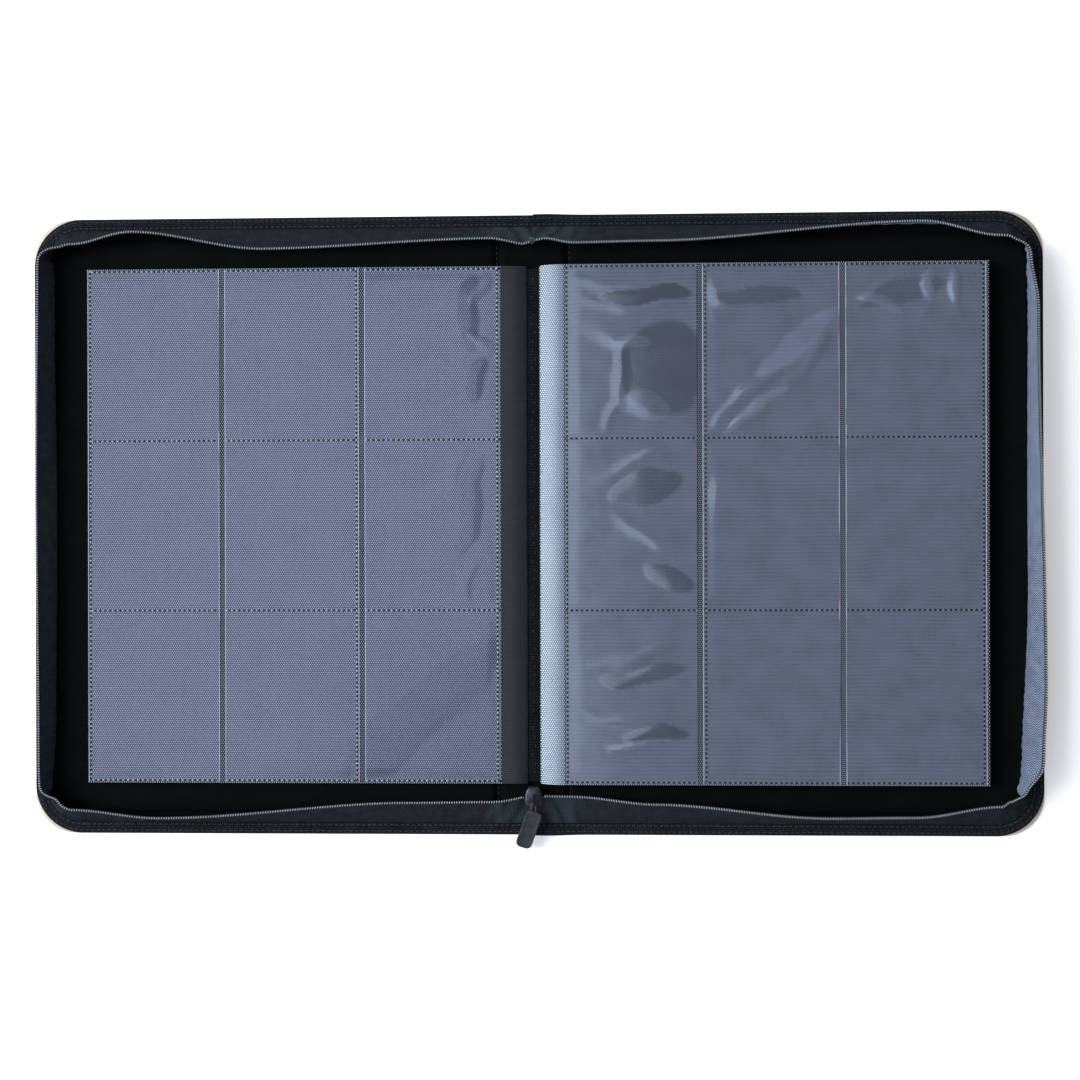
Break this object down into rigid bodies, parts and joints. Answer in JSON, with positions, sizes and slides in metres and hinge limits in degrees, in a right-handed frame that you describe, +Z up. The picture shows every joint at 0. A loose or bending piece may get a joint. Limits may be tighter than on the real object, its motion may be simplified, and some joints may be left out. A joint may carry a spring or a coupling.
{
  "type": "trading card binder",
  "caption": "Zip-round album, lying open, with side-loading nine-pocket leaves for trading cards bound to its spine.",
  "frame": {"origin": "middle of the spine's underside, with the binder lying open on its back", "axes": "+X towards the right-hand leaf, +Y towards the top of the leaves, +Z up off the table"},
  "size_m": [0.544, 0.3408, 0.0203],
  "materials": {
    "leatherette": "fine grained beige leatherette",
    "board": "grey board",
    "foam": "thin closed-cell foam",
    "lining": "matt black woven lining",
    "rim_cloth": "black binding with two rows of stitches",
    "zip_tape": "black herringbone zip tape",
    "zip_coil": "black nylon coil",
    "zip_metal": "black lacquered metal",
    "thread": "yellowish thread",
    "binding_strip": "black comb-edged strip",
    "leaf_stack": "closed leaves of embossed sheet and film",
    "embossed_sheet": "black embossed plastic sheet",
    "pocket_film": "clear glossy film",
    "slider_metal": "dark lacquered zinc",
    "link_wire": "worn reddish brass wire",
    "tab_rubber": "matt dark grey rubber"
  },
  "bodies": {
    "back_cover": {"back_cover_skin": "leatherette", "back_cover_board": "board", "back_cover_foam": "foam", "back_cover_lining": "lining", "back_rim_binding": "rim_cloth", "back_zip_tape": "zip_tape", "back_zip_coil": "zip_coil"},
    "spine": {"spine_skin": "leatherette", "spine_board": "board", "spine_foam": "foam", "spine_lining": "lining", "page_binding_strip": "binding_strip", "page_binding_thread": "thread", "zip_tape_top_end": "zip_tape", "zip_tape_bottom_end": "zip_tape", "zip_coil_top_end": "zip_coil", "zip_coil_bottom_ends": "zip_coil", "zip_top_stop": "zip_metal", "zip_bottom_stop": "zip_metal"},
    "front_cover": {"front_cover_skin": "leatherette", "front_cover_board": "board", "front_cover_foam": "foam", "front_cover_lining": "lining", "front_rim_binding": "rim_cloth", "front_zip_tape": "zip_tape", "front_zip_coil": "zip_coil"},
    "left_leaves": {"left_leaf_1": "leaf_stack", "left_leaf_2": "leaf_stack", "left_leaf_3": "leaf_stack", "left_leaf_4": "leaf_stack", "left_leaf_5": "leaf_stack"},
    "left_top_leaf": {"left_top_leaf_backing": "embossed_sheet", "left_top_leaf_front_film": "pocket_film", "left_top_leaf_back_film": "pocket_film"},
    "right_leaves": {"right_leaf_1": "leaf_stack", "right_leaf_2": "leaf_stack", "right_leaf_3": "leaf_stack", "right_leaf_4": "leaf_stack", "right_leaf_5": "leaf_stack", "right_leaf_6": "leaf_stack", "right_leaf_7": "leaf_stack", "right_leaf_8": "leaf_stack", "right_leaf_9": "leaf_stack", "right_leaf_10": "leaf_stack", "right_leaf_11": "leaf_stack", "right_leaf_12": "leaf_stack", "right_leaf_13": "leaf_stack"},
    "right_top_leaf": {"right_top_leaf_backing": "embossed_sheet", "right_top_leaf_front_film": "pocket_film", "right_top_leaf_back_film": "pocket_film"},
    "slider": {"slider_body": "slider_metal", "slider_bridge": "slider_metal"},
    "pull_link": {"pull_link": "link_wire"},
    "pull_tab": {"pull_tab": "tab_rubber"}
  },
  "joints": [
    {"name": "spine_fold", "type": "hinge", "parent": "back_cover", "child": "spine", "pos_m": [0.019, 0, 0.0015], "axis": [0, -1, 0], "range_deg": [-90, 0]},
    {"name": "front_cover_fold", "type": "hinge", "parent": "spine", "child": "front_cover", "pos_m": [-0.019, 0, 0.0015], "axis": [0, -1, 0], "range_deg": [-90, 0]},
    {"name": "right_leaves_bend", "type": "hinge", "parent": "spine", "child": "right_leaves", "pos_m": [0.0085, 0, 0.006], "axis": [0, -1, 0], "range_deg": [0, 90]},
    {"name": "left_leaves_bend", "type": "hinge", "parent": "spine", "child": "left_leaves", "pos_m": [-0.0045, 0, 0.006], "axis": [0, -1, 0], "range_deg": [-90, 0]},
    {"name": "left_top_leaf_turn", "type": "hinge", "parent": "left_leaves", "child": "left_top_leaf", "pos_m": [-0.001, 0, 0.0123], "axis": [0, 1, 0], "range_deg": [0, 179]},
    {"name": "right_top_leaf_turn", "type": "hinge", "parent": "right_leaves", "child": "right_top_leaf", "pos_m": [0.001, 0, 0.0123], "axis": [0, -1, 0], "range_deg": [0, 179]},
    {"name": "slider_travel", "type": "slide", "parent": "spine", "child": "slider", "axis": [0, 0, 1], "range_m": [0, 0.008]},
    {"name": "pull_link_swing", "type": "hinge", "parent": "slider", "child": "pull_link", "pos_m": [0, -0.149, 0.01372], "axis": [-1, 0, 0], "range_deg": [0, 150]},
    {"name": "pull_tab_swing", "type": "hinge", "parent": "pull_link", "child": "pull_tab", "pos_m": [0, -0.15534, 0.01076], "axis": [-1, 0, 0], "range_deg": [0, 60]}
  ],
  "couplings": [
    {"joint": "right_leaves_bend", "follows": "spine_fold", "ratio": -1},
    {"joint": "left_leaves_bend", "follows": "front_cover_fold", "ratio": 1}
  ]
}
